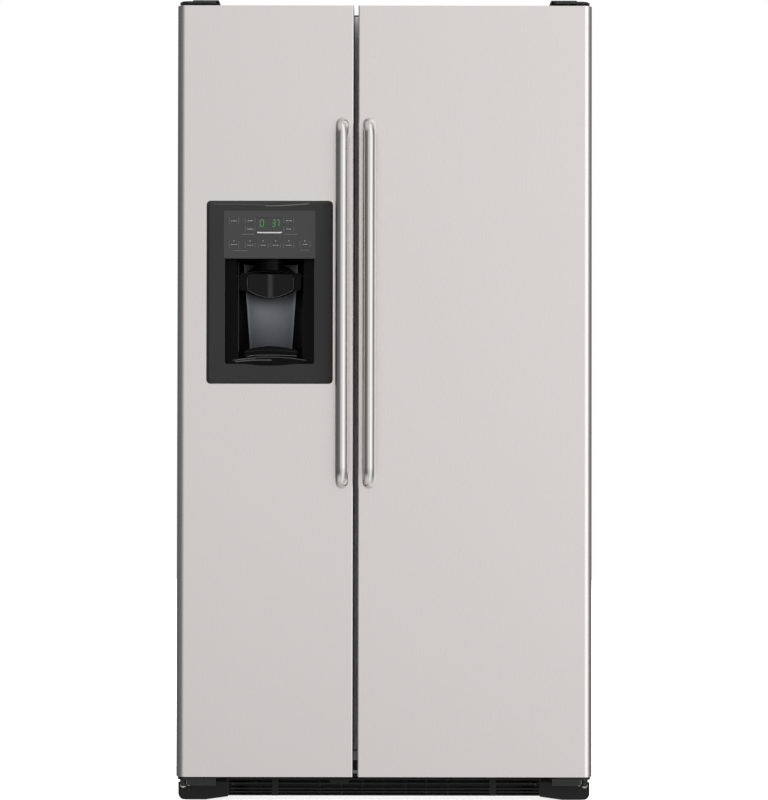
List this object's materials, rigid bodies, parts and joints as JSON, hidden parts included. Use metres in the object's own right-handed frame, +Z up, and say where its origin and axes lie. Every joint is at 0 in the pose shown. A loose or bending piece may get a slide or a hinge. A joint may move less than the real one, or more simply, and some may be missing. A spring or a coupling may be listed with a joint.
{
  "type": "side by side refrigerator",
  "caption": "Free-standing side by side refrigerator and freezer with two hinged doors, ice and water dispenser, shelves, drawers and door bins",
  "frame": {"origin": "centre of the footprint on the floor", "axes": "+X to the right seen from the front, -Y out of the doors, +Z up"},
  "size_m": [0.908, 0.88, 1.768],
  "materials": {
    "case_paint": "satin",
    "hinge_paint": "satin",
    "stainless": "brushed",
    "galvanised": "satin",
    "foam": "matte",
    "liner_white": "gloss",
    "white_plastic": "satin",
    "black_plastic": "satin",
    "charcoal_plastic": "satin",
    "gloss_black": "gloss",
    "panel_grey": "gloss",
    "clear_plastic": "gloss",
    "shelf_glass": "polished",
    "lamp_plastic": "matte",
    "seal_vinyl": "matte",
    "coated_wire": "gloss",
    "fin_aluminium": "satin",
    "black_enamel": "gloss",
    "zinc_steel": "satin",
    "nylon": "matte"
  },
  "bodies": {
    "cabinet": {"cabinet_wrapper": "case_paint", "back_panel": "galvanised", "cabinet_foam": "foam", "freezer_liner": "liner_white", "fresh_liner": "liner_white", "base_frame": "galvanised", "toe_grille": "black_plastic", "top_hinges": "hinge_paint", "hinge_covers": "black_plastic", "bottom_hinges": "hinge_paint", "compressor": "black_enamel", "condenser_coil": "black_enamel", "condenser_fan_frame": "galvanised", "drain_pan": "black_plastic", "rear_cover": "charcoal_plastic", "water_valve": "white_plastic", "evaporator_coil": "fin_aluminium", "evaporator_cover": "liner_white", "ice_maker": "white_plastic", "ice_bucket": "clear_plastic", "wire_shelves": "coated_wire", "lamp_covers": "lamp_plastic", "shelf_glass": "shelf_glass", "shelf_frames": "white_plastic", "crisper_cover": "white_plastic"},
    "freezer_door": {"freezer_door_skin": "stainless", "freezer_door_liner": "liner_white", "freezer_door_caps": "charcoal_plastic", "freezer_seal": "seal_vinyl", "freezer_handle": "stainless", "freezer_door_bins": "clear_plastic", "dispenser_bezel": "charcoal_plastic", "dispenser_recess": "gloss_black", "control_panel": "panel_grey", "drip_tray": "gloss_black"},
    "fresh_door": {"fresh_door_skin": "stainless", "fresh_door_liner": "liner_white", "fresh_door_caps": "charcoal_plastic", "fresh_seal": "seal_vinyl", "fresh_handle": "stainless", "fresh_door_bins": "clear_plastic"},
    "dairy_lid_body": {"dairy_lid": "clear_plastic"},
    "dispenser_paddle_body": {"dispenser_paddle": "gloss_black"},
    "chute_flap_body": {"chute_flap": "gloss_black"},
    "crisper_upper_body": {"crisper_upper": "clear_plastic"},
    "crisper_lower_body": {"crisper_lower": "clear_plastic"},
    "deli_pan_body": {"deli_pan": "clear_plastic"},
    "freezer_basket_upper_body": {"freezer_basket_upper": "coated_wire"},
    "freezer_basket_lower_body": {"freezer_basket_lower": "coated_wire"},
    "humidity_slider_body": {"humidity_slider": "charcoal_plastic"},
    "ice_maker_arm_body": {"ice_maker_arm": "zinc_steel"},
    "ice_auger_body": {"ice_auger": "zinc_steel"},
    "evaporator_fan_body": {"evaporator_fan": "white_plastic"},
    "condenser_fan_body": {"condenser_fan": "black_plastic"},
    "leveling_leg_left_body": {"leveling_leg_left": "zinc_steel"},
    "leveling_leg_right_body": {"leveling_leg_right": "zinc_steel"},
    "front_roller_left_body": {"front_roller_left": "nylon"},
    "front_roller_right_body": {"front_roller_right": "nylon"},
    "rear_rollers_body": {"rear_rollers": "nylon"},
    "water_filter_body": {"water_filter": "white_plastic"}
  },
  "joints": [
    {"name": "freezer_door_hinge", "type": "hinge", "parent": "cabinet", "child": "freezer_door", "pos_m": [-0.434, -0.337, 0.907], "axis": [0, 0, -1], "range_deg": [0, 130]},
    {"name": "fresh_door_hinge", "type": "hinge", "parent": "cabinet", "child": "fresh_door", "pos_m": [0.434, -0.337, 0.907], "axis": [0, 0, 1], "range_deg": [0, 130]},
    {"name": "dairy_lid_hinge", "type": "hinge", "parent": "fresh_door", "child": "dairy_lid_body", "pos_m": [0.192, -0.2027, 1.604], "axis": [1, 0, 0], "range_deg": [0, 85]},
    {"name": "dispenser_paddle_pivot", "type": "hinge", "parent": "freezer_door", "child": "dispenser_paddle_body", "pos_m": [-0.251, -0.348, 1.159], "axis": [1, 0, 0], "range_deg": [0, 12], "stiffness_Nm_per_rad": 0.2, "springref_deg": -114.59},
    {"name": "chute_flap_pivot", "type": "hinge", "parent": "freezer_door", "child": "chute_flap_body", "pos_m": [-0.251, -0.28903, 1.23971], "axis": [1, 0, 0], "range_deg": [0, 60]},
    {"name": "crisper_upper_slide", "type": "slide", "parent": "cabinet", "child": "crisper_upper_body", "axis": [0, -1, 0], "range_m": [0, 0.085]},
    {"name": "crisper_lower_slide", "type": "slide", "parent": "cabinet", "child": "crisper_lower_body", "axis": [0, -1, 0], "range_m": [0, 0.085]},
    {"name": "deli_pan_slide", "type": "slide", "parent": "cabinet", "child": "deli_pan_body", "axis": [0, -1, 0], "range_m": [0, 0.105]},
    {"name": "freezer_basket_upper_slide", "type": "slide", "parent": "cabinet", "child": "freezer_basket_upper_body", "axis": [0, -1, 0], "range_m": [0, 0.09]},
    {"name": "freezer_basket_lower_slide", "type": "slide", "parent": "cabinet", "child": "freezer_basket_lower_body", "axis": [0, -1, 0], "range_m": [0, 0.09]},
    {"name": "humidity_slide", "type": "slide", "parent": "cabinet", "child": "humidity_slider_body", "axis": [1, 0, 0], "range_m": [0, 0.06]},
    {"name": "ice_maker_arm_pivot", "type": "hinge", "parent": "cabinet", "child": "ice_maker_arm_body", "pos_m": [-0.16, 0.001, 1.603], "axis": [1, 0, 0], "range_deg": [0, 25]},
    {"name": "ice_auger_spin", "type": "hinge", "parent": "cabinet", "child": "ice_auger_body", "pos_m": [-0.2465, -0.032, 1.388], "axis": [0, 1, 0], "continuous": true},
    {"name": "evaporator_fan_spin", "type": "hinge", "parent": "cabinet", "child": "evaporator_fan_body", "pos_m": [-0.2465, 0.3, 0.9], "axis": [0, 1, 0], "continuous": true},
    {"name": "condenser_fan_spin", "type": "hinge", "parent": "cabinet", "child": "condenser_fan_body", "pos_m": [0.06, 0.303, 0.148], "axis": [1, 0, 0], "continuous": true},
    {"name": "leveling_leg_left_screw", "type": "hinge", "parent": "cabinet", "child": "leveling_leg_left_body", "pos_m": [-0.403, -0.269, 0.035], "axis": [0, 0, 1], "continuous": true},
    {"name": "leveling_leg_right_screw", "type": "hinge", "parent": "cabinet", "child": "leveling_leg_right_body", "pos_m": [0.403, -0.269, 0.035], "axis": [0, 0, 1], "continuous": true},
    {"name": "front_roller_left_spin", "type": "hinge", "parent": "cabinet", "child": "front_roller_left_body", "pos_m": [-0.436, -0.239, 0.0155], "axis": [1, 0, 0], "continuous": true},
    {"name": "front_roller_right_spin", "type": "hinge", "parent": "cabinet", "child": "front_roller_right_body", "pos_m": [0.436, -0.239, 0.0155], "axis": [1, 0, 0], "continuous": true},
    {"name": "rear_rollers_spin", "type": "hinge", "parent": "cabinet", "child": "rear_rollers_body", "pos_m": [0, 0.368, 0.0155], "axis": [1, 0, 0], "continuous": true},
    {"name": "water_filter_turn", "type": "hinge", "parent": "cabinet", "child": "water_filter_body", "pos_m": [0.354, 0.306, 1.547], "axis": [0, 0, 1], "range_deg": [0, 90]}
  ],
  "couplings": [
    {"joint": "chute_flap_pivot", "follows": "dispenser_paddle_pivot", "ratio": 5}
  ]
}
